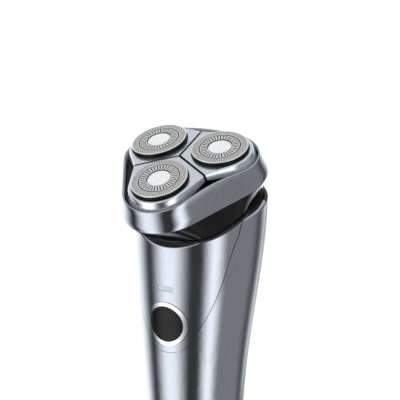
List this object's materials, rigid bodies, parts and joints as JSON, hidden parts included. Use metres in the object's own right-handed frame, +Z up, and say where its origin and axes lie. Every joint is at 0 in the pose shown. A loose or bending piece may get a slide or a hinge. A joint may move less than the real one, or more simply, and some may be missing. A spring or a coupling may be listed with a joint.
{
  "type": "electric shaver",
  "caption": "Cordless rotary shaver with three rocking cutter pods on a forward-leaning head, a pull-off head, a tapered two-shell handle and a front power button.",
  "frame": {"origin": "middle of the handle's flat base", "axes": "+Z up the handle, -Y towards the power button, +X to the right seen from the front"},
  "size_m": [0.0636, 0.0678, 0.1533],
  "materials": {
    "gunmetal_shell": "vacuum-metallised gunmetal under clear lacquer",
    "chrome_skirt": "dark mirror plating",
    "black_gloss": "polished black",
    "black_satin": "fine moulded texture",
    "grey_ring": "satin",
    "silver_pod": "silver plating",
    "foil_steel": "fine slots, lightly brushed",
    "cap_silver": "sparkling silver",
    "cutter_steel": "ground steel",
    "bright_trim": "mirror",
    "lens": "frosted",
    "gear_plastic": "natural acetal",
    "drive_black": "acetal",
    "plated_steel": "zinc plated",
    "brass_pinion": "turned",
    "cell_wrap": "shrink sleeve",
    "board_green": "solder mask",
    "switch_black": "moulded"
  },
  "bodies": {
    "handle": {"front_shell": "gunmetal_shell", "front_panel": "gunmetal_shell", "rear_shell": "black_gloss", "bottom_cap": "black_satin", "button_ring": "bright_trim", "light_lens": "lens", "neck_collar": "grey_ring", "neck_housing": "black_gloss", "hair_tray": "black_satin", "gear_plate": "black_satin", "motor_screws": "plated_steel", "motor_can": "plated_steel", "chassis": "black_satin", "battery": "cell_wrap", "circuit_board": "board_green", "button_switch": "switch_black", "charge_socket": "plated_steel"},
    "shaving_head": {"head_skirt": "chrome_skirt", "pod_carrier": "black_satin"},
    "rotor": {"motor_rotor": "plated_steel", "motor_pinion": "brass_pinion"},
    "button": {"power_button": "black_gloss"},
    "pod_a": {"pod_a": "silver_pod", "foil_a": "foil_steel", "cap_a": "cap_silver", "retainer_a": "black_satin"},
    "cutter_a": {"inner_cutter_a": "cutter_steel"},
    "spindle_a": {"drive_spindle_a": "drive_black", "drive_gear_a": "gear_plastic"},
    "pod_b": {"pod_b": "silver_pod", "foil_b": "foil_steel", "cap_b": "cap_silver", "retainer_b": "black_satin"},
    "cutter_b": {"inner_cutter_b": "cutter_steel"},
    "spindle_b": {"drive_spindle_b": "drive_black", "drive_gear_b": "gear_plastic"},
    "pod_c": {"pod_c": "silver_pod", "foil_c": "foil_steel", "cap_c": "cap_silver", "retainer_c": "black_satin"},
    "cutter_c": {"inner_cutter_c": "cutter_steel"},
    "spindle_c": {"drive_spindle_c": "drive_black", "drive_gear_c": "gear_plastic"}
  },
  "joints": [
    {"name": "head_pull_off", "type": "slide", "parent": "handle", "child": "shaving_head", "axis": [0, -0.3907, 0.9205], "range_m": [0, 0.03]},
    {"name": "power_press", "type": "slide", "parent": "handle", "child": "button", "axis": [0, 1, 0], "range_m": [0, 0.0008], "stiffness_N_per_m": 600, "springref_m": -0.001},
    {"name": "motor_spin", "type": "hinge", "parent": "handle", "child": "rotor", "pos_m": [0, -0.00268, 0.12759], "axis": [0, -0.3907, 0.9205], "continuous": true},
    {"name": "pod_a_rock", "type": "hinge", "parent": "shaving_head", "child": "pod_a", "pos_m": [0, -0.0231, 0.1337], "axis": [1, 0, 0], "range_deg": [-4, 4], "stiffness_Nm_per_rad": 0.05},
    {"name": "spindle_a_spin", "type": "hinge", "parent": "handle", "child": "spindle_a", "pos_m": [0, -0.01819, 0.12318], "axis": [0, -0.3907, 0.9205], "continuous": true},
    {"name": "cutter_a_spin", "type": "hinge", "parent": "pod_a", "child": "cutter_a", "pos_m": [0, -0.0256, 0.13959], "axis": [0, -0.4478, 0.8942], "continuous": true},
    {"name": "pod_b_rock", "type": "hinge", "parent": "shaving_head", "child": "pod_b", "pos_m": [-0.0142, -0.00045, 0.14331], "axis": [-0.5, -0.7972, -0.3384], "range_deg": [-4, 4], "stiffness_Nm_per_rad": 0.05},
    {"name": "spindle_b_spin", "type": "hinge", "parent": "handle", "child": "spindle_b", "pos_m": [-0.01386, 0.0039, 0.13256], "axis": [0, -0.3907, 0.9205], "continuous": true},
    {"name": "cutter_b_spin", "type": "hinge", "parent": "pod_b", "child": "cutter_b", "pos_m": [-0.0142, -0.00295, 0.1492], "axis": [-0.0544, -0.3611, 0.931], "continuous": true},
    {"name": "pod_c_rock", "type": "hinge", "parent": "shaving_head", "child": "pod_c", "pos_m": [0.0142, -0.00045, 0.14331], "axis": [-0.5, 0.7972, 0.3384], "range_deg": [-4, 4], "stiffness_Nm_per_rad": 0.05},
    {"name": "spindle_c_spin", "type": "hinge", "parent": "handle", "child": "spindle_c", "pos_m": [0.01386, 0.0039, 0.13256], "axis": [0, -0.3907, 0.9205], "continuous": true},
    {"name": "cutter_c_spin", "type": "hinge", "parent": "pod_c", "child": "cutter_c", "pos_m": [0.0142, -0.00295, 0.1492], "axis": [0.0544, -0.3611, 0.931], "continuous": true}
  ],
  "couplings": [
    {"joint": "spindle_a_spin", "follows": "motor_spin", "ratio": -0.81818},
    {"joint": "cutter_a_spin", "follows": "motor_spin", "ratio": -0.81818},
    {"joint": "spindle_b_spin", "follows": "motor_spin", "ratio": -0.81818},
    {"joint": "cutter_b_spin", "follows": "motor_spin", "ratio": -0.81818},
    {"joint": "spindle_c_spin", "follows": "motor_spin", "ratio": -0.81818},
    {"joint": "cutter_c_spin", "follows": "motor_spin", "ratio": -0.81818}
  ]
}
